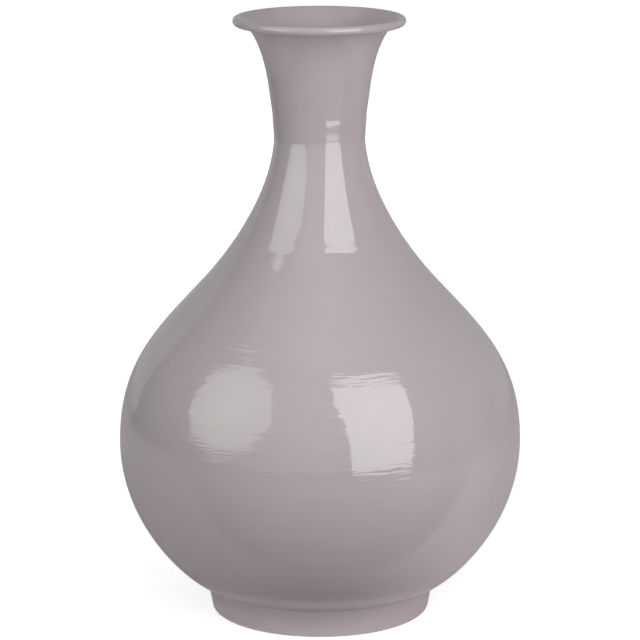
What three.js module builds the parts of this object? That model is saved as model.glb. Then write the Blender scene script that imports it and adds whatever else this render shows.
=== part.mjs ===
// A spun metal vase: a trumpet neck with a rolled, wired rim, a pear-shaped body
// in two shells, and a low foot ring. The shells telescope at their seams and are brazed.
// Millimetres, +Z up. The origin is the centre of the face that the foot stands on.
import * as THREE from 'three';

// Sheet of the body and neck, and the room left between pieces that fit together
const sheet = 1.2;
const clearance = 0.3;

// Foot ring: its outer face leans outward, going up
const footTopRadius = 75.9;
const footHeight = 19.5;
const footLean = 10.5;
const footSheet = 1.6;
const footInnerBend = 1.4;
const footFlangeWidth = 8;

// Outline of the outer face. A rise is the height above the place before it. A lean is the
// angle from upright, positive where the wall spreads as it goes up. A pull is how far the
// curve holds its lean on that side of the place.
const underPull = 11;
const bellyRadius = 133.8;
const bellyRise = 97;
const bellyPullBelow = 57;
const bellyPullAbove = 52.5;
const shoulderRadius = 76.5;
const shoulderRise = 109;
const shoulderLean = -42.6;
const shoulderPullBelow = 47.5;
const shoulderPullAbove = 25.5;
const neckRadius = 30.1;
const neckRise = 98;
const neckPullBelow = 38.8;
const neckPullAbove = 10;
const throatRadius = 33;
const throatRise = 28;
const throatLean = 6.9;
const throatPullBelow = 8.5;
const throatPullAbove = 17.5;
const rimRadius = 56.6;
const rimRise = 48.5;
const lipLean = 57;
const lipPull = 15;

// Rim rolled outward and under, round a wire
const wireRadius = 1.4;
const curlSweep = 285;

// Seams: the lower shell steps inward over the joggle and goes on as a tongue inside the
// upper shell, and filler lies in the groove over the joggle
const bellySeamRise = 45.5;
const neckSeamDrop = 2;
const joggleLength = 4;
const lapLength = 10;
const fillerStart = 1.4;

// Fillet of filler in the corner between bowl and foot ring
const footFilletLeg = 2.4;
const footFilletHollow = 0.85;

// Fineness of the curves
const roundSides = 48;
const stepLength = 14;
const fewestSteps = 5;
const arcStep = 30;
const wireSides = 10;

const bellyHeight = footHeight + bellyRise;
const shoulderHeight = bellyHeight + shoulderRise;
const neckHeight = shoulderHeight + neckRise;
const throatHeight = neckHeight + throatRise;
const vaseHeight = throatHeight + rimRise;
const bellySeamHeight = bellyHeight + bellySeamRise;
const neckSeamHeight = neckHeight - neckSeamDrop;
const curlRadius = wireRadius + clearance + sheet;
const tongueDepth = sheet + clearance;
const curlCentre = new THREE.Vector2(rimRadius - curlRadius, vaseHeight - curlRadius);
const degrees = Math.PI / 180;

// Point at a distance and angle from a centre, counted from the outward direction upward
function around(centre, radius, angle) {
  const spoke = new THREE.Vector2(Math.cos(angle * degrees), Math.sin(angle * degrees));
  return spoke.multiplyScalar(radius).add(centre);
}

// Point of the rolled sheet, by how far it has turned since the lip
function curlPoint(radius, turned) {
  return around(curlCentre, radius, 180 - lipLean - turned);
}

function curve(start, startLean, startPull, end, endLean, endPull) {
  const leaving = around(start, startPull, 90 - startLean);
  const arriving = around(end, -endPull, 90 - endLean);
  return new THREE.CubicBezierCurve(start, leaving, arriving, end);
}

const under = new THREE.Vector2(footTopRadius, footHeight);
const belly = new THREE.Vector2(bellyRadius, bellyHeight);
const shoulder = new THREE.Vector2(shoulderRadius, shoulderHeight);
const narrowest = new THREE.Vector2(neckRadius, neckHeight);
const throat = new THREE.Vector2(throatRadius, throatHeight);
const lip = curlPoint(curlRadius - sheet, 0);

// Outer face of the vase from the foot to the lip, as radius and height
const outline = [
  curve(under, 90, underPull, belly, 0, bellyPullBelow),
  curve(belly, 0, bellyPullAbove, shoulder, shoulderLean, shoulderPullBelow),
  curve(shoulder, shoulderLean, shoulderPullAbove, narrowest, 0, neckPullBelow),
  curve(narrowest, 0, neckPullAbove, throat, throatLean, throatPullBelow),
  curve(throat, throatLean, throatPullAbove, lip, lipLean, lipPull),
];

function timeAtHeight(stretch, height) {
  let low = 0;
  let high = 1;
  for (let i = 0; i < 40; i += 1) {
    const middle = (low + high) / 2;
    if (stretch.getPoint(middle).y < height) {
      low = middle;
    } else {
      high = middle;
    }
  }
  return (low + high) / 2;
}

function pointUnder(stretch, time, depth) {
  const point = stretch.getPoint(time);
  const along = stretch.getTangent(time);
  return new THREE.Vector2(point.x - along.y * depth, point.y + along.x * depth);
}

function pointAtHeight(height, depth) {
  const stretch = outline.find((each) => height <= each.v3.y);
  return pointUnder(stretch, timeAtHeight(stretch, height), depth);
}

// Points along the outline between two heights, at a depth under the outer face
function wall(low, high, depth) {
  const points = [];
  for (const stretch of outline) {
    const bottom = Math.max(low, stretch.v0.y);
    const top = Math.min(high, stretch.v3.y);
    if (top <= bottom) {
      continue;
    }
    const first = bottom > stretch.v0.y ? timeAtHeight(stretch, bottom) : 0;
    const last = top < stretch.v3.y ? timeAtHeight(stretch, top) : 1;
    const share = last - first;
    const steps = Math.ceil(share * Math.max(fewestSteps, stretch.getLength() / stepLength));
    for (let i = points.length > 0 ? 1 : 0; i <= steps; i += 1) {
      points.push(pointUnder(stretch, first + (share * i) / steps, depth));
    }
  }
  return points;
}

// Face of a shell that steps inward to a tongue above the seam at its upper end
function wallWithTongue(low, seam, depth) {
  return [
    ...wall(low, seam - joggleLength, depth),
    ...wall(seam, seam + lapLength, depth + tongueDepth),
  ];
}

// Arc of the rolled sheet from the lip to its end, with a point on the very top
function curlArc(radius) {
  const points = [];
  for (let turned = 90 - lipLean; turned < curlSweep; turned += arcStep) {
    points.push(curlPoint(radius, turned));
  }
  points.push(curlPoint(radius, curlSweep));
  return points;
}

function revolve(profile) {
  const geometry = new THREE.LatheGeometry(profile, roundSides);
  geometry.rotateX(Math.PI / 2);
  return geometry;
}

function revolveLoop(points) {
  return revolve([...points, points[0].clone()]);
}

// Bowl with its own floor, closed on the axis
function lowerBowl() {
  const floorBelow = new THREE.Vector2(0, footHeight);
  const floorAbove = new THREE.Vector2(0, footHeight + sheet);
  const outside = wallWithTongue(footHeight, bellySeamHeight, 0);
  const inside = wallWithTongue(footHeight, bellySeamHeight, sheet);
  return revolve([floorBelow, ...outside, ...inside.reverse(), floorAbove]);
}

function shoulderShell() {
  const outside = wallWithTongue(bellySeamHeight, neckSeamHeight, 0);
  const inside = wallWithTongue(bellySeamHeight, neckSeamHeight, sheet);
  return revolveLoop([...outside, ...inside.reverse()]);
}

// The outer face of the neck runs on inside the curl, and its inner face over the outside
function neckTrumpet() {
  const outside = [...wall(neckSeamHeight, lip.y, 0), ...curlArc(curlRadius - sheet)];
  const inside = [...wall(neckSeamHeight, lip.y, sheet), ...curlArc(curlRadius)];
  return revolveLoop([...outside, ...inside.reverse()]);
}

function rimWire() {
  const points = [];
  for (let i = 0; i < wireSides; i += 1) {
    points.push(around(curlCentre, wireRadius, (360 * i) / wireSides));
  }
  return revolveLoop(points);
}

// Filler over a joggle: flush outside, and deeper toward the edge of the upper shell
function seamFiller(seam) {
  const groove = seam - joggleLength;
  const fillerEnd = joggleLength - clearance;
  const depthAt = (distance) => (tongueDepth * distance) / joggleLength - clearance;
  return revolveLoop([
    pointAtHeight(groove + fillerStart, 0),
    pointAtHeight(groove + fillerEnd, 0),
    pointAtHeight(groove + fillerEnd, depthAt(fillerEnd)),
    pointAtHeight(groove + fillerStart, depthAt(fillerStart)),
  ]);
}

function footFaceRadius(height) {
  return footTopRadius - (footHeight - height) * Math.tan(footLean * degrees);
}

// Ring with a leaning wall that bends inward at the bottom to a flat standing flange
function footRing() {
  const across = 1 / Math.cos(footLean * degrees);
  const outerBend = footInnerBend + footSheet;
  const bendRadius = footFaceRadius(outerBend) - outerBend * across;
  const bendCentre = new THREE.Vector2(bendRadius, outerBend);
  const openingRadius = bendRadius - footFlangeWidth;
  const bend = (radius) => {
    const points = [];
    const steps = 4;
    for (let i = 0; i <= steps; i += 1) {
      points.push(around(bendCentre, radius, -90 + ((90 - footLean) * i) / steps));
    }
    return points;
  };
  return revolveLoop([
    new THREE.Vector2(openingRadius, 0),
    ...bend(outerBend),
    new THREE.Vector2(footTopRadius, footHeight),
    new THREE.Vector2(footTopRadius - footSheet * across, footHeight),
    ...bend(footInnerBend).reverse(),
    new THREE.Vector2(openingRadius, footSheet),
  ]);
}

// Hollow-faced fillet in the corner under the bowl, round the top of the foot ring
function footFillet() {
  const top = footHeight - clearance;
  const bottom = top - footFilletLeg;
  const near = footFaceRadius(top) + clearance;
  return revolveLoop([
    new THREE.Vector2(footFaceRadius(bottom) + clearance, bottom),
    new THREE.Vector2(near + footFilletHollow, top - footFilletHollow),
    new THREE.Vector2(near + footFilletLeg, top),
    new THREE.Vector2(near, top),
  ]);
}

const enamel = { color: '#baaeb2', roughness: 0.12, metalness: 0 };
const bareSteel = { color: '#8d8a86', roughness: 0.4, metalness: 1 };

const vase = new THREE.Group();

function add(name, geometry, look) {
  const mesh = new THREE.Mesh(geometry, new THREE.MeshStandardMaterial(look));
  mesh.name = name;
  vase.add(mesh);
}

add('foot_ring', footRing(), enamel);
add('foot_braze', footFillet(), enamel);
add('lower_bowl', lowerBowl(), enamel);
add('belly_braze', seamFiller(bellySeamHeight), enamel);
add('shoulder', shoulderShell(), enamel);
add('neck_braze', seamFiller(neckSeamHeight), enamel);
add('neck', neckTrumpet(), enamel);
add('rim_wire', rimWire(), bareSteel);

export default vase;
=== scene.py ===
import math
from collections import namedtuple

import bmesh
import bpy
from mathutils import Matrix, Vector, noise


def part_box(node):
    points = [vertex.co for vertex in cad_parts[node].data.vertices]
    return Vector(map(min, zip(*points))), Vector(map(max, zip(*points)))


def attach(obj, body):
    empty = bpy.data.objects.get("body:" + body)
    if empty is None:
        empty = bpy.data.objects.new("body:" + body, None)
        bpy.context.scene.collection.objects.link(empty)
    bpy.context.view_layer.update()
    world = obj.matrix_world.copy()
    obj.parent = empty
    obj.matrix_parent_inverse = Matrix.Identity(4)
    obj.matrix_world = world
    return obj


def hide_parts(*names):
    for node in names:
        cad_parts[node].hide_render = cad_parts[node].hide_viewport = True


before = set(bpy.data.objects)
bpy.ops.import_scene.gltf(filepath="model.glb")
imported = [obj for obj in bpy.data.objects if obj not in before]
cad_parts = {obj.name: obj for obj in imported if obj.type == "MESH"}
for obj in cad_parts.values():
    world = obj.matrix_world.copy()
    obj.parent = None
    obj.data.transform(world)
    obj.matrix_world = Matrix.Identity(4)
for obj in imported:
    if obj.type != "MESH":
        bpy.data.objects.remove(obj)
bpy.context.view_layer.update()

bl_info = {
    "name": "Spun Metal Vase",
    "version": (1, 0, 0),
    "blender": (4, 5, 0),
    "location": "3D View > Sidebar > Vase",
    "description": "Builds a spun, enamelled metal vase piece by piece, and the studio round it",
    "category": "Add Mesh",
}

BODY = "root"
ENAMEL_SLOT = "enamel"
FILLER_SLOT = "enamel_over_filler"
ALONG = "along"
SHADE = "shade"
# Degrees between two faces from which their edge stays sharp: less than the joggle's bend
SHARP_FROM = 14
# Less than this counts as no length
NOTHING = 1e-7
# Small enough not to show, and enough to lie on one side of a seam
HAIR = 0.0001
# How strongly the coat bends light
COAT_IOR = 1.75
# Range that smooth noise mostly keeps to
NOISE_LOW = 0.3
NOISE_HIGH = 0.7


# Kinds of setting

def length(name, default, description):
    """A length that a user may change, in metres."""
    return bpy.props.FloatProperty(
        name=name, description=description, default=default, precision=5, unit="LENGTH"
    )


def lean(name, degrees, description):
    """An angle from upright, positive where the wall spreads as it goes up."""
    return bpy.props.FloatProperty(
        name=name, description=description, default=math.radians(degrees), subtype="ANGLE"
    )


def amount(name, default, description):
    """A plain number."""
    return bpy.props.FloatProperty(name=name, description=description, default=default, precision=4)


def colour(name, default, description):
    """A colour, as linear red, green and blue."""
    return bpy.props.FloatVectorProperty(
        name=name, description=description, default=default, subtype="COLOR", size=3, min=0, max=1
    )


def place(name, default, description):
    """A place in the frame, in metres."""
    return bpy.props.FloatVectorProperty(
        name=name, description=description, default=default, subtype="TRANSLATION", size=3
    )


class VaseOutline(bpy.types.PropertyGroup):
    """Outer face of the vase. A rise is the height above the place before it."""

    foot_radius: length("Foot radius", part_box("foot_ring")[1].x, "Outer radius of the foot's top")
    foot_height: length("Foot height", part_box("foot_ring")[1].z, "Height of the foot ring")
    foot_lean: lean("Foot lean", 10.5, "How far the foot's face leans outward")
    foot_sheet: length("Foot sheet", 0.0016, "Sheet thickness of the foot ring")
    foot_bend: length("Foot bend", 0.0014, "Inner radius of the bend at the foot's edge")
    foot_flange: length("Foot flange", 0.008, "Width of the flat edge that the vase stands on")
    under_pull: length("Under pull", 0.011, "How far the bowl stays flat beside the foot")
    belly_radius: length("Belly radius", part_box("lower_bowl")[1].x, "Largest radius")
    belly_rise: length("Belly rise", 0.097, "Height of the belly above the foot ring")
    belly_pull_below: length("Belly pull below", 0.057, "Fullness below the belly")
    belly_pull_above: length("Belly pull above", 0.0525, "Fullness above the belly")
    shoulder_radius: length("Shoulder radius", 0.0765, "Radius where the shoulder turns hollow")
    shoulder_rise: length("Shoulder rise", 0.109, "Height of that place above the belly")
    shoulder_lean: lean("Shoulder lean", -42.6, "Lean of the shoulder there")
    shoulder_pull_below: length("Shoulder pull below", 0.0475, "Fullness under the shoulder")
    shoulder_pull_above: length("Shoulder pull above", 0.0255, "Straightness over the shoulder")
    neck_radius: length("Neck radius", 0.0301, "Smallest radius")
    neck_rise: length("Neck rise", 0.098, "Height of the narrowest place above the shoulder")
    neck_pull_below: length("Neck pull below", 0.0388, "Straightness under the narrowest place")
    neck_pull_above: length("Neck pull above", 0.010, "Straightness over the narrowest place")
    throat_radius: length("Throat radius", 0.033, "Radius where the trumpet begins to open")
    throat_rise: length("Throat rise", 0.028, "Height of that place above the narrowest one")
    throat_lean: lean("Throat lean", 6.9, "Lean of the trumpet there")
    throat_pull_below: length("Throat pull below", 0.0085, "Straightness under that place")
    throat_pull_above: length("Throat pull above", 0.0175, "Straightness over that place")
    rim_radius: length("Rim radius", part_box("neck")[1].x, "Outer radius of the rolled rim")
    height: length("Height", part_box("neck")[1].z, "Height of the whole vase")
    lip_lean: lean("Lip lean", 57, "Lean of the trumpet where it meets the rolled rim")
    lip_pull: length("Lip pull", 0.015, "How far the trumpet holds that lean")


class VaseSheet(bpy.types.PropertyGroup):
    """How the sheet is joined and rolled, and how finely it is drawn."""

    thickness: length("Sheet", 0.0012, "Sheet thickness of body and neck")
    clearance: length("Clearance", 0.0003, "Room between pieces that slide into each other")
    wire_radius: length("Wire radius", 0.0014, "Radius of the wire in the rolled rim")
    curl_sweep: lean("Curl sweep", 285, "How far the rim is rolled")
    belly_seam_rise: length("Belly seam rise", 0.0455, "Height of the belly seam above the belly")
    neck_seam_drop: length("Neck seam drop", 0.002, "How far the neck seam lies under the neck")
    joggle: length("Joggle", 0.004, "Length over which the lower shell steps inward")
    lap: length("Lap", 0.010, "Length of the tongue inside the upper shell")
    fillet_leg: length("Fillet leg", 0.0034, "Width of the filler in the corner over the foot")
    sides: bpy.props.IntProperty(
        name="Sides", description="Faces round the vase", default=240, min=24, max=720
    )
    fine_step: length("Fine step", 0.0012, "Distance between rings on faces that show")
    coarse_step: length("Coarse step", 0.004, "Distance between rings on hidden faces")


class VaseHandwork(bpy.types.PropertyGroup):
    """How far the real, hand-spun shell strays from its outline."""

    seed: bpy.props.IntProperty(
        name="Seed", description="Chooses another vase of the same kind", default=3, min=0
    )
    wander: length("Wander", 0.00012, "How far the shell is out of round, in soft waves")
    wander_size: length("Wander size", 0.070, "Distance between those waves")
    fullness: length("Fullness", 0.00038, "How much fuller the shoulder is above its middle")
    full_at: length("Fullness height", 0.250, "Height where it is fullest")
    full_reach: length("Fullness reach", 0.038, "How far that reaches up and down")
    neck_waist: length("Neck waist", 0.0002, "Depth of the hollow where the neck seam was dressed")
    waist_drop: length("Waist drop", 0.0012, "How far the hollow's middle lies under the seam")
    waist_reach: length("Waist reach", 0.0075, "How far it reaches down from there")
    neck_swell: length("Neck swell", 0.00027, "Height of the swell over that hollow")
    swell_rise: length("Swell rise", 0.010, "How far over the hollow the swell reaches its height")
    swell_end: length("Swell end", 0.011, "How far over the hollow it begins to fall off")
    swell_fall: length("Swell fall", 0.0065, "Over what height it falls off")
    groove: length("Groove", 0.00013, "Depth of the shallow groove at the foot of the neck")
    groove_at: length("Groove height", 0.2531, "Height of that groove")
    groove_width: length("Groove width", 0.0024, "Half the width of that groove")
    fault: length("Seam fault", 0.00028, "How far dressing the belly seam left the bowl uneven")
    fault_at: lean("Fault place", -83, "Where round the vase that is, from the right-hand side")
    fault_width: lean("Fault width", 8, "How wide it is")
    fault_drop: length("Fault drop", 0.042, "How far under the seam it fades out")
    fault_above: amount("Fault above", 0.35, "How much of it the shoulder has, the other way round")
    fault_rise: length("Fault rise", 0.008, "How far over the seam that fades out")
    fillet_lump: length("Fillet lump", 0.0002, "Height of the lumps in the filler over the foot")


class VaseEnamel(bpy.types.PropertyGroup):
    """The coat."""

    tone: colour("Tone", (0.491, 0.423, 0.445), "Colour of the enamel")
    thin_tone: colour("Thin tone", (0.470, 0.409, 0.430), "Colour where the coat is thinner")
    shine: amount("Roughness", 0.015, "Roughness of the coat")
    dull: amount("Dull roughness", 0.03, "Roughness where spinning marks lie close together")
    mark_pitch: length("Mark pitch", 0.0015, "Distance between the finest spinning marks")
    mark_reach: length("Mark reach", 0.012, "How far round the vase one of them runs")
    mark_depth: length("Mark depth", 0.0002, "Depth of the finest spinning marks")
    bundle_pitch: length("Bundle pitch", 0.009, "Distance between bundles of deeper marks")
    ring_pitch: length("Ring pitch", 0.0052, "Distance between the broader rings")
    ring_reach: length("Ring reach", 0.06, "How far round the vase one of them runs")
    ring_depth: length("Ring depth", 0.0001, "Depth of the broader rings")
    calm: amount("Calm", 0.22, "Depth of the marks on the smoother neck, as a share")
    calm_from: length("Calm from", 0.240, "Height where the smoother neck starts")
    calm_until: length("Calm until", 0.328, "Height where it ends, over the neck seam")
    trumpet: amount("Trumpet", 0.25, "Depth of the marks on the trumpet, as a share")
    trumpet_from: length("Trumpet from", 0.340, "Height where the trumpet is as smooth as that")
    peel_pitch: length("Peel pitch", 0.0045, "Size of the soft waves in the coat itself")
    peel_depth: length("Peel depth", 0.000006, "Depth of those waves")

    def calm_stretches(self):
        """Heights between which the marks change in depth, and their shares there."""
        slow = 0.012
        quick = 0.008
        return (
            (self.calm_from - slow, self.calm_from, 1.0, self.calm),
            (self.calm_until, self.calm_until + quick, 1.0, 1 / self.calm),
            (self.trumpet_from - quick, self.trumpet_from, 1.0, self.trumpet),
        )


class VaseStudio(bpy.types.PropertyGroup):
    """Camera, softboxes, tent, floor and cloths."""

    eye: place("Camera", (0.0001, -2.10237, 0.67235), "Place of the camera")
    pitch: lean("Pitch", 12.73, "How far the camera looks down")
    roll: lean("Roll", 0.105, "How far the camera leans to the right")
    lens: amount("Lens", 182.6, "Focal length in millimetres, on a sensor 36 wide")
    right_low_near: place("Right low near", (0.319, -1.067, 0.004), "Right softbox, low, by the camera")
    right_low_far: place("Right low far", (0.889, -0.763, 0.004), "Right softbox, low, at the side")
    right_high_far: place("Right high far", (1.033, -0.530, 1.3), "Right softbox, high, at the side")
    right_high_near: place("Right high near", (0.110, -0.875, 1.265), "Right softbox, high, by the camera")
    right_strength: amount("Right brightness", 2.75, "Brightness of the right softbox at its edge")
    right_heart: amount("Right heart", 0.1, "How much brighter its middle is, as a share")
    right_colour: colour("Right colour", (0.985, 1.0, 1.0), "Colour of the right softbox")
    left_place: place("Left softbox", (-0.9291, -0.4892, 0.6040), "Middle of the left softbox")
    left_turn: lean("Left turn", -32.1, "How far the left softbox turns from facing the back")
    left_tip: lean("Left tip", 28.3, "How far the left softbox tips down")
    left_spin: lean("Left spin", 14.3, "How far its eight sides are turned")
    left_radius: length("Left radius", 0.565, "From the middle of the left softbox to a side")
    left_strength: amount("Left brightness", 1.5, "Brightness of the left softbox at its edge")
    left_heart: amount("Left heart", 0.42, "How much brighter its middle is, as a share")
    left_colour: colour("Left colour", (0.95, 1.0, 0.93), "Colour of the left softbox")
    left_tent: amount("Left tent", 0.14, "Brightness of the tent on the left")
    right_tent: amount("Right tent", 0.27, "Brightness of the tent on the right")
    front_tent: amount("Front tent", 0.32, "What the tent's front is brighter than its sides")
    low_back: amount("Back tent below", 0.48, "Brightness of the tent behind, at the bottom")
    high_back: amount("Back tent above", 0.12, "Brightness of the tent behind, at the top")
    roof_strength: amount("Roof", 0.38, "Brightness of the tent's roof")
    roof_heart: amount("Roof heart", 0.3, "What the roof is brighter over the front")
    tent_radius: length("Tent radius", 1.9, "Radius of the tent")
    tent_height: length("Tent height", 3.0, "Height of the tent")
    floor_colour: colour("Floor", (0.82, 0.82, 0.82), "Colour of the floor")
    floor_lift: amount("Floor lift", 0.66, "What is added to the floor's own light near the vase")
    cloth_left: amount("Cloth left", 0.62, "How pale the cloth is left of the vase, from 0 to 1")
    cloth_right: amount("Cloth right", 0.88, "How pale the cloth is right of the vase, from 0 to 1")
    cloth_behind: amount("Cloth behind", 0.82, "How pale the cloth is behind on the left")
    # Painted shadow: the cloth right before the foot is darker, where the belly shades the floor
    foot_painted_shadow: amount("Cloth before the foot", 0.62, "How much darker it is right before the foot")
    cloth_far: amount("Cloth far off", 0.2, "How pale it is in front, 0.8 m from the vase on")
    cloth_tint: colour("Cloth colour", (1.0, 0.93, 0.95), "Colour of the cloths where palest")
    dark_left: amount("Dark cloth left", 0.22, "How pale the front cloth's left side is")
    dark_right: amount("Dark cloth right", 0.52, "How pale the front cloth's right side is")
    strip: amount("Pale strip", 0.24, "How much paler the cloth is on the right by the dark one")


# Section of the sheet

Station = namedtuple("Station", "point outward home")


def spoke(centre, distance, angle):
    """Point at a distance and angle from a centre, counted from the outward direction upward."""
    return centre + distance * Vector((math.cos(angle), math.sin(angle)))


def stretch(start, start_lean, start_pull, end, end_lean, end_pull):
    """Control points of one curve of the outline."""
    quarter = math.pi / 2
    leaving = spoke(start, start_pull, quarter - start_lean)
    arriving = spoke(end, -end_pull, quarter - end_lean)
    return (start, leaving, arriving, end)


def curl_centre(outline, sheet):
    """Middle of the wire in the rolled rim."""
    radius = curl_radius(sheet)
    return Vector((outline.rim_radius - radius, outline.height - radius))


def curl_radius(sheet):
    """Outer radius of the rolled rim's section."""
    return sheet.wire_radius + sheet.clearance + sheet.thickness


def curl_point(outline, sheet, radius, turned):
    """Point of the rolled sheet, by how far it has turned since the lip."""
    return spoke(curl_centre(outline, sheet), radius, math.pi - outline.lip_lean - turned)


def belly_seam(outline, sheet):
    """Height of the belly seam."""
    return outline.foot_height + outline.belly_rise + sheet.belly_seam_rise


def neck_height(outline):
    """Height of the narrowest place."""
    return outline.foot_height + outline.belly_rise + outline.shoulder_rise + outline.neck_rise


def neck_seam(outline, sheet):
    """Height of the neck seam."""
    return neck_height(outline) - sheet.neck_seam_drop


def outer_face(outline, sheet):
    """The curves of the outer face, from the foot to the lip."""
    belly_at = outline.foot_height + outline.belly_rise
    neck_at = neck_height(outline)
    # Radius, height and lean of each place on the way up, and its pull below and above
    places = (
        (outline.foot_radius, outline.foot_height, math.pi / 2, 0, outline.under_pull),
        (outline.belly_radius, belly_at, 0, outline.belly_pull_below, outline.belly_pull_above),
        (
            outline.shoulder_radius, belly_at + outline.shoulder_rise, outline.shoulder_lean,
            outline.shoulder_pull_below, outline.shoulder_pull_above,
        ),
        (outline.neck_radius, neck_at, 0, outline.neck_pull_below, outline.neck_pull_above),
        (
            outline.throat_radius, neck_at + outline.throat_rise, outline.throat_lean,
            outline.throat_pull_below, outline.throat_pull_above,
        ),
        (
            *curl_point(outline, sheet, curl_radius(sheet) - sheet.thickness, 0),
            outline.lip_lean, outline.lip_pull, 0,
        ),
    )
    curves = []
    for lower, upper in zip(places, places[1:]):
        start = Vector(lower[:2])
        end = Vector(upper[:2])
        curves.append(stretch(start, lower[2], lower[4], end, upper[2], upper[3]))
    return curves


def bezier_point(curve, time):
    """Point of a curve."""
    start, leaving, arriving, end = curve
    back = 1 - time
    return (
        start * back**3
        + leaving * (3 * back * back * time)
        + arriving * (3 * back * time * time)
        + end * time**3
    )


def bezier_outward(curve, time):
    """Outward direction, square to a curve that runs upward."""
    start, leaving, arriving, end = curve
    back = 1 - time
    along = (
        (leaving - start) * (back * back)
        + (arriving - leaving) * (2 * back * time)
        + (end - arriving) * (time * time)
    )
    along.normalize()
    return Vector((along.y, -along.x))


def time_at_height(curve, height):
    """Where on a curve a height is reached."""
    low = 0.0
    high = 1.0
    halvings = 40
    for _ in range(halvings):
        middle = (low + high) / 2
        if bezier_point(curve, middle).y < height:
            low = middle
        else:
            high = middle
    return (low + high) / 2


def curve_length(curve, end=1.0):
    """Length of a curve, up to a place on it."""
    steps = 32
    points = [bezier_point(curve, end * i / steps) for i in range(steps + 1)]
    return sum((b - a).length for a, b in zip(points, points[1:]))


def way_up(curves, height):
    """Length of the outline from the middle of the floor up to a height."""
    way = curves[0][0].x
    for curve in curves:
        if height <= curve[3].y:
            return way + curve_length(curve, time_at_height(curve, height))
        way += curve_length(curve)
    return way


def face(curves, low, high, depth, step):
    """Stations along the outline between two heights, at a depth under the outer face."""
    stations = []
    for curve in curves:
        bottom = max(low, curve[0].y)
        top = min(high, curve[3].y)
        if top - bottom < NOTHING:
            continue
        first = time_at_height(curve, bottom) if bottom > curve[0].y else 0.0
        last = time_at_height(curve, top) if top < curve[3].y else 1.0
        steps = max(2, math.ceil(curve_length(curve) * (last - first) / step))
        for i in range(1 if stations else 0, steps + 1):
            time = first + (last - first) * i / steps
            point = bezier_point(curve, time)
            outward = bezier_outward(curve, time)
            stations.append(Station(point - outward * depth, outward, point.y))
    return stations


def face_with_tongue(curves, sheet, low, seam, depth, step):
    """Stations of a shell that steps inward to a tongue above the seam at its upper end."""
    tongue_depth = depth + sheet.thickness + sheet.clearance
    return face(curves, low, seam - sheet.joggle, depth, step) + face(
        curves, seam, seam + sheet.lap, tongue_depth, sheet.coarse_step
    )


def corner(radius, height):
    """A station that stays where it is put."""
    return Station(Vector((radius, height)), Vector((0, 0)), height)


# Handwork: how far the sheet strays from the outline

def hump(distance, width):
    """A smooth hump, 1 in the middle."""
    return math.exp(-((distance / width) ** 2))


def smooth(low, high, value):
    """0 up to low, 1 from high on, and smooth between them."""
    share = min(1, max(0, (value - low) / (high - low)))
    return share * share * (3 - 2 * share)


def ring_offset(outline, sheet, handwork, height):
    """Hollow that dressing the neck seam left, the swell over it and the groove under it."""
    above = height - neck_seam(outline, sheet) + handwork.waist_drop
    waist = handwork.neck_waist
    swell = handwork.neck_swell
    if above < 0:
        groove = handwork.groove * hump(height - handwork.groove_at, handwork.groove_width)
        return -waist * hump(above, handwork.waist_reach) - groove
    left = max(0, 1 - above / handwork.swell_rise)
    rise = (waist + swell) * (1 - left * left) - waist
    end = handwork.swell_end
    return rise - swell * smooth(end, end + handwork.swell_fall, above)


def stray(outline, sheet, handwork, angle, height):
    """How far the sheet lies outside its outline, at an angle round the vase and a height. The
    waves go mostly inward, so that the vase keeps to its largest radius."""
    radius = 0.1
    next_seed = 17.3
    inward = 0.5
    spot = Vector((math.cos(angle) * radius, math.sin(angle) * radius, height))
    spot /= handwork.wander_size
    spot.z += next_seed * handwork.seed
    waves = handwork.wander * (noise.noise(spot) - inward)
    waves += seam_fault(outline, sheet, handwork, angle, height)
    waves += handwork.fullness * hump(height - handwork.full_at, handwork.full_reach)
    return waves + ring_offset(outline, sheet, handwork, height)


def seam_fault(outline, sheet, handwork, angle, height):
    """Where dressing the belly seam left the bowl low on one side of a place and high on the
    other, and the shoulder a little the other way round. It fades out from the seam on."""
    seam = belly_seam(outline, sheet)
    if height < outline.foot_height:
        return 0.0
    aside = math.remainder(angle - handwork.fault_at, 2 * math.pi) / handwork.fault_width
    if height < seam - HAIR:
        fade = smooth(seam - handwork.fault_drop, seam, height)
    else:
        fade = handwork.fault_above * (smooth(seam, seam + handwork.fault_rise, height) - 1)
    return handwork.fault * aside * math.exp(-aside * aside) * fade


# Meshes

def spin(name, stations, offset, sides, start=0.0, closed=True):
    """A new object: the section spun round the upright axis. offset gives, for an angle and a
    height, how far a station is moved along its outward direction. start is where the section
    starts, measured along the outline."""
    mesh = bpy.data.meshes.new(name)
    bm = bmesh.new()
    along_layer = bm.verts.layers.float.new(ALONG)
    travelled = start
    rings = []
    for number, station in enumerate(stations):
        if number:
            travelled += (station.point - stations[number - 1].point).length
        on_axis = station.point.x < NOTHING
        ring = []
        for side in range(1 if on_axis else sides):
            angle = 2 * math.pi * side / sides
            flat = station.point + station.outward * offset(angle, station.home)
            vertex = bm.verts.new(
                (flat.x * math.cos(angle), flat.x * math.sin(angle), flat.y)
            )
            vertex[along_layer] = travelled
            ring.append(vertex)
        rings.append(ring)
    pairs = list(zip(rings, rings[1:]))
    if closed:
        pairs.append((rings[-1], rings[0]))
    for lower, upper in pairs:
        if len(lower) == len(upper) == 1:
            continue
        for side in range(sides):
            after = (side + 1) % sides
            corners = []
            for vertex in (
                lower[side % len(lower)],
                lower[after % len(lower)],
                upper[after % len(upper)],
                upper[side % len(upper)],
            ):
                if vertex not in corners:
                    corners.append(vertex)
            bm.faces.new(corners)
    bmesh.ops.recalc_face_normals(bm, faces=bm.faces)
    bm.to_mesh(mesh)
    bm.free()
    mesh.shade_smooth()
    mesh.set_sharp_from_angle(angle=math.radians(SHARP_FROM))
    piece = bpy.data.objects.new(name, mesh)
    bpy.context.scene.collection.objects.link(piece)
    return piece


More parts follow.
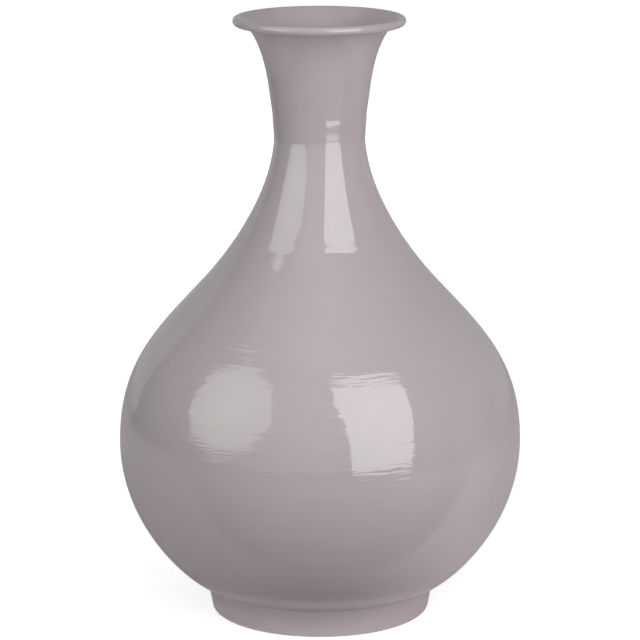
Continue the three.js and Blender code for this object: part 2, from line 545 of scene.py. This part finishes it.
def settle(piece, material, slot, *nodes):
    """Gives a piece its material and its ride, and hides the parts of the model that it stands in for."""
    piece.data.materials.append(material)
    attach(piece, BODY)
    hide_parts(*nodes)


# Materials

def new_tree(name):
    """A new material, its node tree and its output node."""
    material = bpy.data.materials.new(name)
    material.use_nodes = True
    tree = material.node_tree
    tree.nodes.clear()
    output = tree.nodes.new("ShaderNodeOutputMaterial")
    return material, tree, output


def feed(tree, socket, value):
    """Links an output to a socket, or sets the socket."""
    if isinstance(value, bpy.types.NodeSocket):
        tree.links.new(value, socket)
    else:
        socket.default_value = value


def maths(tree, operation, *values):
    """A sum on the surface."""
    node = tree.nodes.new("ShaderNodeMath")
    node.operation = operation
    for socket, value in zip(node.inputs, values):
        feed(tree, socket, value)
    return node.outputs[0]


def grain(tree, places, scale, detail=1.0, roughness=0.5):
    """Smooth noise from 0 to 1."""
    node = tree.nodes.new("ShaderNodeTexNoise")
    feed(tree, node.inputs["Vector"], places)
    feed(tree, node.inputs["Scale"], scale)
    feed(tree, node.inputs["Detail"], detail)
    feed(tree, node.inputs["Roughness"], roughness)
    return node.outputs["Fac"]


def streaks(tree, along, places, pitch, reach):
    """Noise drawn out round the vase: one pitch apart along the outline, and a reach long."""
    apart = tree.nodes.new("ShaderNodeSeparateXYZ")
    feed(tree, apart.inputs[0], places)
    drawn = tree.nodes.new("ShaderNodeCombineXYZ")
    feed(tree, drawn.inputs["X"], maths(tree, "DIVIDE", apart.outputs["X"], reach))
    feed(tree, drawn.inputs["Y"], maths(tree, "DIVIDE", apart.outputs["Y"], reach))
    feed(tree, drawn.inputs["Z"], maths(tree, "DIVIDE", along, pitch))
    return grain(tree, drawn.outputs[0], 1.0)


def spread(tree, value, low, high, new_low, new_high):
    """Stretches a range of values onto another."""
    node = tree.nodes.new("ShaderNodeMapRange")
    for name, given in (
        ("Value", value),
        ("From Min", low),
        ("From Max", high),
        ("To Min", new_low),
        ("To Max", new_high),
    ):
        feed(tree, node.inputs[name], given)
    return node.outputs[0]


def enamel(look, name="vase_enamel"):
    """Glossy coat over spun sheet: fine ring marks, soft waves and small changes of tone."""
    material, tree, output = new_tree(name)
    places = tree.nodes.new("ShaderNodeTexCoord").outputs["Object"]
    ring = tree.nodes.new("ShaderNodeAttribute")
    ring.attribute_name = ALONG
    along = ring.outputs["Fac"]

    marks = streaks(tree, along, places, look.mark_pitch, look.mark_reach)
    broad = streaks(tree, along, places, look.ring_pitch, look.ring_reach)
    patches = streaks(tree, along, places, look.bundle_pitch, look.ring_reach)
    faintest = 0.3
    strength = spread(tree, patches, 0.4, 0.65, faintest, 1.0)
    height = tree.nodes.new("ShaderNodeSeparateXYZ")
    feed(tree, height.inputs[0], places)
    peel = grain(tree, places, 1 / look.peel_pitch)

    depth = maths(tree, "MULTIPLY", marks, look.mark_depth)
    depth = maths(tree, "MULTIPLY", depth, strength)
    depth = maths(tree, "MULTIPLY_ADD", broad, look.ring_depth, depth)
    for low, high, before, after in look.calm_stretches():
        fade = spread(tree, height.outputs["Z"], low, high, before, after)
        depth = maths(tree, "MULTIPLY", depth, fade)
    depth = maths(tree, "MULTIPLY_ADD", peel, look.peel_depth, depth)
    bump = tree.nodes.new("ShaderNodeBump")
    feed(tree, bump.inputs["Distance"], 1.0)
    feed(tree, bump.inputs["Height"], depth)

    tone = tree.nodes.new("ShaderNodeMix")
    tone.data_type = "RGBA"
    clouds_per_metre = 13.0
    clouds = grain(tree, places, clouds_per_metre, detail=3.0, roughness=0.6)
    thinner = spread(tree, clouds, NOISE_LOW, NOISE_HIGH, 0.0, 1.0)
    feed(tree, tone.inputs["Factor"], thinner)
    feed(tree, tone.inputs["A"], (*look.tone, 1))
    feed(tree, tone.inputs["B"], (*look.thin_tone, 1))

    coat = tree.nodes.new("ShaderNodeBsdfPrincipled")
    feed(tree, coat.inputs["Base Color"], tone.outputs["Result"])
    rough = spread(tree, marks, NOISE_LOW, NOISE_HIGH, look.shine, look.dull)
    feed(tree, coat.inputs["Roughness"], rough)
    feed(tree, coat.inputs["IOR"], COAT_IOR)
    feed(tree, coat.inputs["Normal"], bump.outputs["Normal"])
    feed(tree, output.inputs["Surface"], coat.outputs[0])
    return material


def drawn_steel():
    """Bare drawn wire, with its fine lengthwise lines and a breath of rust."""
    material, tree, output = new_tree("wire_steel")
    places = tree.nodes.new("ShaderNodeTexCoord").outputs["Object"]
    stretched = tree.nodes.new("ShaderNodeMapping")
    feed(tree, stretched.inputs["Vector"], places)
    drawn_out = 14.0
    lines_per_metre = 400.0
    spots_per_metre = 90.0
    feed(tree, stretched.inputs["Scale"], (1.0, 1.0, drawn_out))
    lines = grain(tree, stretched.outputs[0], lines_per_metre, detail=3.0, roughness=0.6)
    spots = grain(tree, places, spots_per_metre, detail=4.0, roughness=0.65)
    tone = tree.nodes.new("ShaderNodeMix")
    tone.data_type = "RGBA"
    feed(tree, tone.inputs["Factor"], spread(tree, spots, 0.45, 0.75, 0.0, 1.0))
    for socket, tint in (("A", (0.27, 0.26, 0.25, 1)), ("B", (0.16, 0.09, 0.055, 1))):
        feed(tree, tone.inputs[socket], tint)
    steel = tree.nodes.new("ShaderNodeBsdfPrincipled")
    feed(tree, steel.inputs["Metallic"], 1.0)
    feed(tree, steel.inputs["Base Color"], tone.outputs["Result"])
    rough = spread(tree, lines, NOISE_LOW, NOISE_HIGH, 0.3, 0.55)
    feed(tree, steel.inputs["Roughness"], rough)
    feed(tree, output.inputs["Surface"], steel.outputs[0])
    return material


def shared_enamel(context):
    """The one coat that all pieces wear."""
    return bpy.data.materials.get("vase_enamel") or enamel(context.scene.vase_enamel)


# Pieces

class PieceOperator(bpy.types.Operator):
    """What the operators of the vase share."""

    bl_options = {"REGISTER", "UNDO"}

    def read(self, context):
        """Takes the settings, and works out the curves of the outer face."""
        self.outline = context.scene.vase_outline
        self.sheet = context.scene.vase_sheet
        self.handwork = context.scene.vase_handwork
        self.curves = outer_face(self.outline, self.sheet)
        self.enamel = shared_enamel(context)

    def offset(self, angle, height):
        """How far the sheet strays there."""
        return stray(self.outline, self.sheet, self.handwork, angle, height)

    def shell(self, low, seam):
        """Stations of a shell's outer and inner face, with its tongue over the seam."""
        sheet = self.sheet
        return [
            face_with_tongue(self.curves, sheet, low, seam, depth, step)
            for depth, step in ((0, sheet.fine_step), (sheet.thickness, sheet.coarse_step))
        ]


class VASE_OT_foot_ring(PieceOperator):
    """Spins the foot ring, with its leaning face and the flat edge that it stands on"""

    bl_idname = "vase.foot_ring"
    bl_label = "Foot Ring"

    def execute(self, context):
        self.read(context)
        outline = self.outline
        across = 1 / math.cos(outline.foot_lean)
        outer_bend = outline.foot_bend + outline.foot_sheet
        slope = math.tan(outline.foot_lean)
        bend_radius = outline.foot_radius - (outline.foot_height - outer_bend) * slope
        bend_radius -= outer_bend * across
        centre = Vector((bend_radius, outer_bend))
        opening = bend_radius - outline.foot_flange
        turn = math.pi / 2 - outline.foot_lean
        bend_steps = 12
        wall_steps = 14

        def bend(radius):
            points = []
            for i in range(bend_steps + 1):
                points.append(spoke(centre, radius, -math.pi / 2 + turn * i / bend_steps))
            return points

        points = [Vector((opening, 0)), *bend(outer_bend)]
        bottom = points[-1]
        top = Vector((outline.foot_radius, outline.foot_height))
        points += [bottom.lerp(top, i / wall_steps) for i in range(1, wall_steps + 1)]
        points += [Vector((top.x - outline.foot_sheet * across, top.y))]
        points += reversed(bend(outline.foot_bend))
        points += [Vector((opening, outline.foot_sheet))]
        stations = [corner(point.x, point.y) for point in points]
        ring = spin("foot_ring_spun", stations, self.offset, self.sheet.sides)
        settle(ring, self.enamel, ENAMEL_SLOT, "foot_ring")
        return {"FINISHED"}


class VASE_OT_foot_fillet(PieceOperator):
    """Lays the fillet of filler in the corner between the bowl and the foot ring"""

    bl_idname = "vase.foot_fillet"
    bl_label = "Foot Fillet"

    def execute(self, context):
        self.read(context)
        outline = self.outline
        leg = self.sheet.fillet_leg
        slope = math.tan(outline.foot_lean)
        buried = 0.00008
        back = 0.0004
        steps = 16
        crease = Vector((outline.foot_radius, outline.foot_height))
        low = crease - Vector((slope * leg + buried, leg))
        bowl = self.curves[0]
        # Where on the bowl's first curve the fillet ends
        time = 0.5 * leg / outline.under_pull
        high = bezier_point(bowl, time) - bezier_outward(bowl, time) * buried
        points = []
        for i in range(steps + 1):
            share = i / steps
            first = low.lerp(crease, share)
            second = crease.lerp(high, share)
            points.append(first.lerp(second, share))
        stations = []
        for i, point in enumerate(points):
            ahead = points[min(i + 1, steps)] - points[max(i - 1, 0)]
            ahead.normalize()
            stations.append(Station(point, Vector((ahead.y, -ahead.x)), i / steps))
        stations.append(corner(outline.foot_radius - back, outline.foot_height))

        def lumps(angle, share):
            if share > 1:
                return 0.0
            flatness = 0.12
            fineness = 9.0
            spot = Vector((math.cos(angle), math.sin(angle), share * flatness)) * fineness
            increment = 0.6
            lacunarity = 2.0
            octaves = 3
            rough = noise.fractal(spot, increment, lacunarity, octaves)
            return self.handwork.fillet_lump * rough * math.sin(math.pi * share)

        fillet = spin("foot_fillet", stations, lumps, self.sheet.sides)
        settle(fillet, self.enamel, FILLER_SLOT, "foot_braze")
        return {"FINISHED"}


class VASE_OT_lower_bowl(PieceOperator):
    """Spins the lower bowl with its closed floor and the tongue that the shoulder slides over"""

    bl_idname = "vase.lower_bowl"
    bl_label = "Lower Bowl"

    def execute(self, context):
        self.read(context)
        low = self.outline.foot_height
        outside, inside = self.shell(low, belly_seam(self.outline, self.sheet))
        below = self.disc(self.outline.foot_radius, low, 24)
        above = self.disc(inside[0].point.x, low + self.sheet.thickness, 12)
        stations = [*below, *outside, *reversed(inside), *reversed(above)]
        bowl = spin("bowl_spun", stations, self.offset, self.sheet.sides, closed=False)
        settle(bowl, self.enamel, ENAMEL_SLOT, "lower_bowl")
        return {"FINISHED"}

    def disc(self, radius, height, steps):
        """Stations of a flat floor, from the middle to just inside its edge."""
        return [corner(radius * i / steps, height) for i in range(steps)]


class VASE_OT_shoulder(PieceOperator):
    """Spins the shoulder between the belly seam and the neck seam"""

    bl_idname = "vase.shoulder"
    bl_label = "Shoulder"

    def execute(self, context):
        self.read(context)
        low = belly_seam(self.outline, self.sheet)
        outside, inside = self.shell(low, neck_seam(self.outline, self.sheet))
        stations = [*outside, *reversed(inside)]
        start = way_up(self.curves, low)
        shell = spin("shoulder_spun", stations, self.offset, self.sheet.sides, start)
        settle(shell, self.enamel, ENAMEL_SLOT, "shoulder")
        return {"FINISHED"}


class VASE_OT_neck(PieceOperator):
    """Spins the neck and trumpet, with the rim rolled outward and under"""

    bl_idname = "vase.neck"
    bl_label = "Neck and Rim"

    def execute(self, context):
        self.read(context)
        sheet = self.sheet
        low = neck_seam(self.outline, sheet)
        high = self.curves[-1][3].y
        outside = face(self.curves, low, high, 0, sheet.fine_step)
        inside = face(self.curves, low, high, sheet.thickness, sheet.fine_step)
        radius = curl_radius(sheet)
        stations = [*outside, *self.curl(radius - sheet.thickness)]
        stations += reversed([*inside, *self.curl(radius)])
        start = way_up(self.curves, low)
        trumpet = spin("neck_spun", stations, self.offset, sheet.sides, start)
        settle(trumpet, self.enamel, ENAMEL_SLOT, "neck")
        return {"FINISHED"}

    def curl(self, radius):
        """Stations of the rolled sheet after the lip."""
        stations = []
        steps = 48
        for i in range(1, steps + 1):
            turned = self.sheet.curl_sweep * i / steps
            point = curl_point(self.outline, self.sheet, radius, turned)
            stations.append(corner(point.x, point.y))
        return stations


class VASE_OT_seams(PieceOperator):
    """Fills the grooves of the belly seam and the neck seam, flush with the sheet"""

    bl_idname = "vase.seams"
    bl_label = "Seam Fillers"

    def execute(self, context):
        self.read(context)
        belly = belly_seam(self.outline, self.sheet)
        neck = neck_seam(self.outline, self.sheet)
        self.fill("belly_filler", belly, "belly_braze")
        self.fill("neck_filler", neck, "neck_braze")
        return {"FINISHED"}

    def fill(self, name, seam, node):
        """Spins one ring of filler over the joggle under a seam."""
        sheet = self.sheet
        outside = face(self.curves, seam - sheet.joggle, seam, 0, sheet.fine_step)
        deep = face(self.curves, seam, seam + HAIR, sheet.thickness, sheet.fine_step)[:1]
        start = way_up(self.curves, seam - sheet.joggle)
        ring = spin(name, [*outside, *deep], self.offset, sheet.sides, start)
        settle(ring, self.enamel, FILLER_SLOT, node)


class VASE_OT_rim_wire(bpy.types.Operator):
    """Gives the wire in the rolled rim its bare drawn steel"""

    bl_idname = "vase.rim_wire"
    bl_label = "Rim Wire"

    def execute(self, context):
        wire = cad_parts["rim_wire"]
        wire.data.materials.clear()
        wire.data.materials.append(drawn_steel())
        return {"FINISHED"}


# Studio

def hang(name, points, faces, material):
    """A sheet of the studio, which isn't part of the vase and which the camera doesn't see."""
    mesh = bpy.data.meshes.new(name)
    mesh.from_pydata([tuple(each) for each in points], [], faces)
    mesh.materials.append(material)
    sheet = bpy.data.objects.new(name, mesh)
    bpy.context.scene.collection.objects.link(sheet)
    sheet.visible_camera = False
    return sheet


def panel(name, corners, material):
    """One flat sheet through its corners."""
    return hang(name, corners, [range(len(corners))], material)


def drape(name, rows, material, closed=False):
    """A sheet through rows of points. A closed one joins its last row to its first."""
    width = len(rows[0])
    faces = []
    for i in range(len(rows) if closed else len(rows) - 1):
        a = width * i
        b = width * ((i + 1) % len(rows))
        for j in range(width - 1):
            faces.append((a + j, a + j + 1, b + j + 1, b + j))
    return hang(name, sum(rows, []), faces, material)


def glow(tree, strength, tint=(1, 1, 1)):
    """An even glow."""
    light = tree.nodes.new("ShaderNodeEmission")
    feed(tree, light.inputs["Color"], (*tint, 1))
    feed(tree, light.inputs["Strength"], strength)
    return light.outputs[0]


def distance_from(tree, centre):
    """How far the surface lies from a place."""
    distance = tree.nodes.new("ShaderNodeVectorMath")
    distance.operation = "DISTANCE"
    feed(tree, distance.inputs[0], tree.nodes.new("ShaderNodeTexCoord").outputs["Object"])
    feed(tree, distance.inputs[1], centre)
    return distance.outputs["Value"]


def glow_from_heart(name, centre, reach, strength, heart, tint):
    """A glow that is brighter by a share at its centre, and plain from a reach on."""
    material, tree, output = new_tree(name)
    brightest = strength * (1 + heart)
    fall = spread(tree, distance_from(tree, centre), 0.0, reach, brightest, strength)
    feed(tree, output.inputs["Surface"], glow(tree, fall, tint))
    return material


def between(left, right, x, low, high):
    """A shade that changes smoothly from left to right."""
    return left + (right - left) * smooth(low, high, x)


def shade_of_point(tree):
    """How bright or pale each point of a sheet says that it is."""
    said = tree.nodes.new("ShaderNodeAttribute")
    said.attribute_name = SHADE
    return said.outputs["Fac"]


def shade_points(sheet, shade):
    """Gives each point of a sheet its shade, worked out from its place."""
    layer = sheet.data.attributes.new(SHADE, "FLOAT", "POINT")
    layer.data.foreach_set("value", [shade(vertex.co) for vertex in sheet.data.vertices])


def glow_by_point(name):
    """A glow as strong as each point of the sheet says."""
    material, tree, output = new_tree(name)
    feed(tree, output.inputs["Surface"], glow(tree, shade_of_point(tree)))
    return material


def cloth_by_point(name, tint):
    """Matt cloth, as pale as each point says. Only its upper side shows, so that it doesn't
    shade the floor below."""
    material, tree, output = new_tree(name)
    paler = tree.nodes.new("ShaderNodeVectorMath")
    paler.operation = "SCALE"
    feed(tree, paler.inputs[0], tint)
    feed(tree, paler.inputs["Scale"], shade_of_point(tree))
    matt = tree.nodes.new("ShaderNodeBsdfDiffuse")
    feed(tree, matt.inputs["Color"], paler.outputs[0])
    clear = tree.nodes.new("ShaderNodeBsdfTransparent")
    side = tree.nodes.new("ShaderNodeNewGeometry").outputs["Backfacing"]
    mixed = tree.nodes.new("ShaderNodeMixShader")
    for socket, given in zip(mixed.inputs, (side, matt.outputs[0], clear.outputs[0])):
        feed(tree, socket, given)
    feed(tree, output.inputs["Surface"], mixed.outputs[0])
    return material


def seen_rays(tree):
    """1 for rays from the camera and for those that a shiny or clear surface sends on."""
    path = tree.nodes.new("ShaderNodeLightPath")
    seen = maths(tree, "MAXIMUM", path.outputs["Is Camera Ray"], path.outputs["Is Glossy Ray"])
    return maths(tree, "MAXIMUM", seen, path.outputs["Is Transmission Ray"])


def floor_material(studio):
    """Pale floor, lifted to white for the rays that see it, where the object's shadow stays."""
    material, tree, output = new_tree("pale_floor")
    inner = 0.25
    outer = 1.2
    distance = distance_from(tree, (0, 0, 0))
    lift = spread(tree, distance, inner, outer, studio.floor_lift, 1.0)
    paper = tree.nodes.new("ShaderNodeBsdfDiffuse")
    feed(tree, paper.inputs["Color"], (*studio.floor_colour, 1))
    both = tree.nodes.new("ShaderNodeAddShader")
    feed(tree, both.inputs[0], paper.outputs[0])
    feed(tree, both.inputs[1], glow(tree, maths(tree, "MULTIPLY", seen_rays(tree), lift)))
    feed(tree, output.inputs["Surface"], both.outputs[0])
    return material


def white_world():
    """White behind everything that is seen, and no light on the object."""
    world = bpy.data.worlds.new("studio_world")
    world.use_nodes = True
    tree = world.node_tree
    background = tree.nodes["Background"]
    feed(tree, background.inputs["Color"], (1, 1, 1, 1))
    feed(tree, background.inputs["Strength"], seen_rays(tree))
    bpy.context.scene.world = world


class VASE_OT_studio(bpy.types.Operator):
    """Sets up the camera, the softboxes, the tent, the floor and the cloths round the vase"""

    bl_idname = "vase.studio"
    bl_label = "Studio"

    def execute(self, context):
        studio = context.scene.vase_studio
        self.foot = context.scene.vase_outline.foot_radius
        self.camera(context, studio)
        self.right_softbox(studio)
        self.left_softbox(studio)
        self.tent(studio)
        self.floor(studio)
        self.front_cloth(studio)
        self.grey_cloth(studio)
        white_world()
        context.scene.view_settings.view_transform = "Standard"
        return {"FINISHED"}

    def camera(self, context, studio):
        """Stands the camera where the photograph was taken."""
        data = bpy.data.cameras.new("studio_camera")
        data.sensor_width = 36
        data.lens = studio.lens
        camera = bpy.data.objects.new("studio_camera", data)
        camera.location = studio.eye
        level = Matrix.Rotation(math.pi / 2 - studio.pitch, 3, "X")
        camera.rotation_euler = (level @ Matrix.Rotation(-studio.roll, 3, "Z")).to_euler()
        context.scene.collection.objects.link(camera)
        context.scene.camera = camera

    def right_softbox(self, studio):
        """Hangs the four-sided softbox."""
        corners = [
            Vector(studio.right_low_near), Vector(studio.right_low_far),
            Vector(studio.right_high_far), Vector(studio.right_high_near),
        ]
        heart = sum(corners, Vector()) / 4
        reach = (corners[2] - corners[0]).length / 2
        look = glow_from_heart(
            "right_softbox", heart, reach,
            studio.right_strength, studio.right_heart, studio.right_colour,
        )
        panel("right_softbox", corners, look)

    def left_softbox(self, studio):
        """Hangs the eight-sided softbox, which faces the vase."""
        turn = studio.left_turn
        tip = studio.left_tip
        across = Vector((math.cos(turn), math.sin(turn), 0))
        level = math.sin(tip)
        up = Vector((-math.sin(turn) * level, math.cos(turn) * level, math.cos(tip)))
        sides = 8
        half = math.pi / sides
        radius = studio.left_radius / math.cos(half)
        corners = []
        for i in range(sides):
            angle = studio.left_spin + half + 2 * half * i
            aside = across * math.cos(angle) + up * math.sin(angle)
            corners.append(Vector(studio.left_place) + aside * radius)
        look = glow_from_heart(
            "left_softbox", studio.left_place, studio.left_radius,
            studio.left_strength, studio.left_heart, studio.left_colour,
        )
        panel("left_softbox", corners, look)

    def floor(self, studio):
        """Lays the pale floor."""
        reach = 9
        corners = [(-reach, -reach, 0), (reach, -reach, 0), (reach, reach, 0), (-reach, reach, 0)]
        panel("pale_floor", corners, floor_material(studio)).visible_camera = True

    def front_cloth(self, studio):
        """Lays the dark cloth, whose back edge runs aslant before the vase."""
        side = 0.6
        height = 0.002
        corners = [(-side, -side), (side, -side), (side, -0.068), (0.3, -0.1), (0.14, -0.11)]
        corners += [(-0.137, -0.132), (-0.3, -0.153), (-side, -0.175)]
        corners = [(*each, height) for each in corners]
        cloth = panel("front_cloth", corners, cloth_by_point("dark_cloth", studio.cloth_tint))

        def paleness(at):
            return between(studio.dark_left, studio.dark_right, at.x, -side, side)

        shade_points(cloth, paleness)

    def grey_cloth(self, studio):
        """Lays the grey cloth round the foot, out to the tent."""
        height = 0.001
        overlap = 0.003
        radii = [self.foot - overlap, 0.081, 0.088, 0.095, 0.11, 0.125, 0.14, 0.17, 0.2]
        radii += [i / 10 for i in range(3, 13)]
        radii += [studio.tent_radius + 0.1]
        steps = 48
        rows = []
        for i in range(steps):
            angle = 2 * math.pi * i / steps
            x = math.cos(angle)
            y = math.sin(angle)
            rows.append([(radius * x, radius * y, height) for radius in radii])

        def paleness(at):
            # Paler toward the right, and toward the back
            left = between(studio.cloth_left, studio.cloth_behind, at.y, 0.1, 0.5)
            near = between(left, studio.cloth_right, at.x, -0.25, 0.25)
            # Painted shadow: darker right before the foot, where the belly shades the floor
            before = hump(at.x, 0.06) * between(1, 0, at.y, -0.05, 0)
            near *= 1 - studio.foot_painted_shadow * before * between(1, 0, at.length, 0.08, 0.2)
            # Paler on the right, along the dark cloth
            near += studio.strip * between(0, 1, at.x, 0.05, 0.15) * hump(at.y + 0.06, 0.08)
            # White against the foot
            near = between(1, near, at.length, 0.080, 0.093)
            # Darker far off, where it lies in front
            far = between(studio.cloth_far, near, at.y + min(at.x, 0), -0.3, 0.3)
            farther = between(0, 0.4, at.y, -0.3, 0.3)
            return between(near, far, at.length - farther, 0.5, 0.8)

        look = cloth_by_point("grey_cloth", studio.cloth_tint)
        shade_points(drape("grey_cloth", rows, look, closed=True), paleness)

    def tent(self, studio):
        """Hangs the soft tent: a sheet round the front and sides, one behind, and a roof."""
        left_end = -130
        right_end = 122
        left_side = -40
        right_side = 60
        heart = -15
        heart_width = 40

        def front(at):
            bearing = math.degrees(math.atan2(at.x, -at.y))
            sides = between(studio.left_tent, studio.right_tent, bearing, left_side, right_side)
            return sides + studio.front_tent * hump(bearing - heart, heart_width)

        def back(at):
            share = at.z / studio.tent_height
            return studio.low_back + (studio.high_back - studio.low_back) * share

        def above(at):
            away = (at.xy - Vector((0, -1))).length
            return studio.roof_strength + studio.roof_heart * hump(away, 0.8)

        self.curtain(studio, "front_tent", left_end, right_end, front)
        self.curtain(studio, "back_tent", right_end, left_end + 360, back)
        steps = 12
        places = [studio.tent_radius * (2 * i / steps - 1) for i in range(steps + 1)]
        rows = [[(x, y, studio.tent_height) for y in places] for x in places]
        shade_points(drape("tent_roof", rows, glow_by_point("tent_roof")), above)

    def curtain(self, studio, name, start, end, shade):
        """Hangs a curved sheet between two bearings. 0 is toward the camera, 90 to the right."""
        steps = 36
        levels = 6
        lowest = 0.003
        rows = []
        for i in range(steps + 1):
            bearing = start + (end - start) * i / steps
            x, y = spoke(Vector((0, 0)), studio.tent_radius, math.radians(bearing - 90))
            heights = [lowest + studio.tent_height * j / levels for j in range(levels + 1)]
            rows.append([(x, y, height) for height in heights])
        shade_points(drape(name, rows, glow_by_point(name)), shade)


# Panel and start

class VASE_PT_pieces(bpy.types.Panel):
    """Lists the pieces of the vase and its studio."""

    bl_idname = "VASE_PT_pieces"
    bl_label = "Spun Metal Vase"
    bl_space_type = "VIEW_3D"
    bl_region_type = "UI"
    bl_category = "Vase"

    def draw(self, context):
        layout = self.layout
        for operator in OPERATORS:
            layout.operator(operator.bl_idname)
        for name in GROUPS:
            box = layout.box()
            box.label(text=GROUPS[name].__doc__.splitlines()[0])
            settings = getattr(context.scene, name)
            for key in GROUPS[name].__annotations__:
                box.prop(settings, key)


GROUPS = {
    "vase_outline": VaseOutline,
    "vase_sheet": VaseSheet,
    "vase_handwork": VaseHandwork,
    "vase_enamel": VaseEnamel,
    "vase_studio": VaseStudio,
}

OPERATORS = (
    VASE_OT_foot_ring,
    VASE_OT_foot_fillet,
    VASE_OT_lower_bowl,
    VASE_OT_shoulder,
    VASE_OT_neck,
    VASE_OT_seams,
    VASE_OT_rim_wire,
    VASE_OT_studio,
)


def register():
    """Makes the settings, operators and panel known to Blender."""
    for group in GROUPS.values():
        bpy.utils.register_class(group)
    for name, group in GROUPS.items():
        setattr(bpy.types.Scene, name, bpy.props.PointerProperty(type=group))
    for each in (*OPERATORS, VASE_PT_pieces):
        bpy.utils.register_class(each)


def unregister():
    """Takes them away again."""
    for each in (VASE_PT_pieces, *reversed(OPERATORS)):
        bpy.utils.unregister_class(each)
    for name, group in GROUPS.items():
        delattr(bpy.types.Scene, name)
        bpy.utils.unregister_class(group)


def main():
    register()
    bpy.ops.vase.foot_ring()
    bpy.ops.vase.foot_fillet()
    bpy.ops.vase.lower_bowl()
    bpy.ops.vase.shoulder()
    bpy.ops.vase.neck()
    bpy.ops.vase.seams()
    bpy.ops.vase.rim_wire()
    bpy.ops.vase.studio()


if __name__ == "__main__":
    main()
